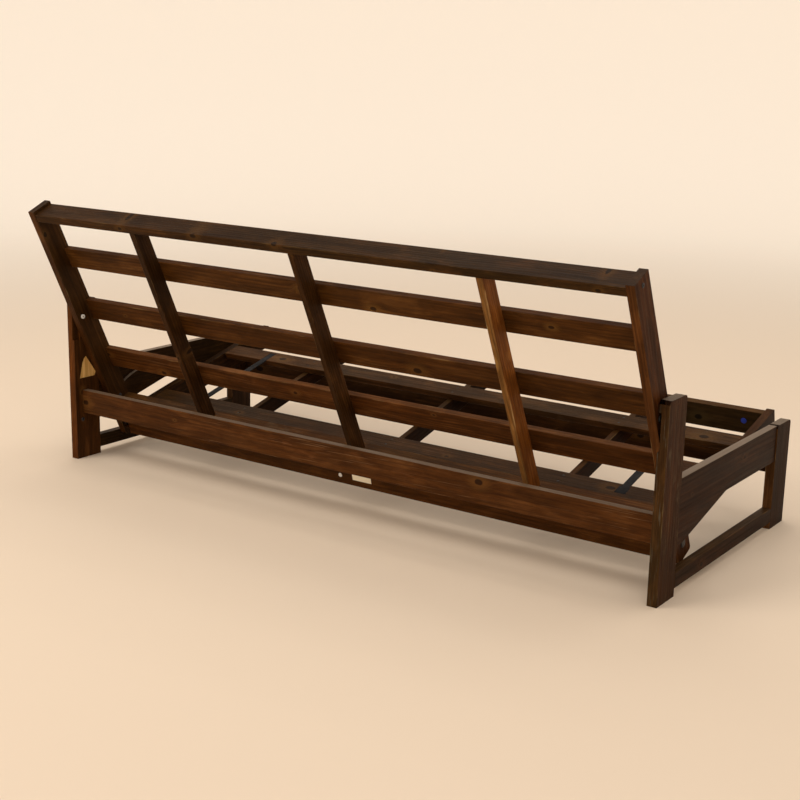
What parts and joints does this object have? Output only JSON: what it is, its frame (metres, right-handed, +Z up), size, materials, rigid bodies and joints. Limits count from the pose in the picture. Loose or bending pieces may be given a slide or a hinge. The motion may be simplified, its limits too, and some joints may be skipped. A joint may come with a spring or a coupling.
{
  "type": "futon frame",
  "caption": "Armless bifold futon frame in dark-stained knotty wood, with slatted seat and back decks that slide and fold from sofa to flat bed.",
  "frame": {"origin": "on the floor, under the centre of the bounding box in the sofa position", "axes": "+X along the length, -Y towards the front of the seat, +Z up"},
  "size_m": [1.93, 0.9934, 0.7865],
  "materials": {
    "frame_wood": "satin stain",
    "back_wood": "satin stain",
    "seat_wood": "satin stain",
    "black_steel": "satin black",
    "white_nylon": "matte",
    "plain_plate": "matte, blank"
  },
  "bodies": {
    "base": {"left_rear_leg": "frame_wood", "right_rear_leg": "frame_wood", "left_front_leg": "frame_wood", "right_front_leg": "frame_wood", "left_side_board": "frame_wood", "right_side_board": "frame_wood", "left_lower_rail": "frame_wood", "right_lower_rail": "frame_wood", "back_stretcher": "frame_wood", "front_stretcher": "frame_wood", "leg_bolts": "black_steel"},
    "deck_pivots": {"pivot_bolts": "black_steel", "pivot_spacers": "white_nylon"},
    "back_deck": {"left_back_stile": "back_wood", "right_back_stile": "back_wood", "back_top_rail": "back_wood", "back_bottom_rail": "back_wood", "left_back_rib": "back_wood", "centre_back_rib": "back_wood", "right_back_rib": "back_wood", "upper_back_slat": "back_wood", "middle_back_slat": "back_wood", "lower_back_slat": "back_wood", "back_slat_screws": "black_steel", "back_rail_bolts": "black_steel", "upper_guide_bolts": "black_steel", "upper_guide_pads": "white_nylon", "lower_guide_bolts": "black_steel", "lower_guide_rollers": "white_nylon"},
    "seat_deck": {"left_seat_rail": "seat_wood", "right_seat_rail": "seat_wood", "seat_front_rail": "seat_wood", "seat_rear_rail": "seat_wood", "left_seat_rib": "seat_wood", "centre_seat_rib": "seat_wood", "right_seat_rib": "seat_wood", "front_seat_slat": "seat_wood", "middle_seat_slat": "seat_wood", "rear_seat_slat": "seat_wood", "seat_slat_screws": "black_steel", "seat_rail_bolts": "black_steel", "left_seat_strap": "black_steel", "right_seat_strap": "black_steel", "rail_plate": "plain_plate", "rail_cap": "white_nylon"}
  },
  "joints": [
    {"name": "deck_travel", "type": "hinge", "parent": "base", "child": "deck_pivots", "pos_m": [0, -0.2521, -0.32774], "axis": [1, 0, 0], "range_deg": [0, 31.51]},
    {"name": "back_recline", "type": "hinge", "parent": "deck_pivots", "child": "back_deck", "pos_m": [0, 0.15106, 0.0969], "axis": [-1, 0, 0], "range_deg": [0, 96.52]},
    {"name": "seat_level", "type": "hinge", "parent": "deck_pivots", "child": "seat_deck", "pos_m": [0, 0.15106, 0.0969], "axis": [-1, 0, 0], "range_deg": [0, 17.02]}
  ],
  "couplings": [
    {"joint": "back_recline", "follows": "deck_travel", "ratio": 3.0627},
    {"joint": "seat_level", "follows": "deck_travel", "ratio": 0.53985}
  ]
}
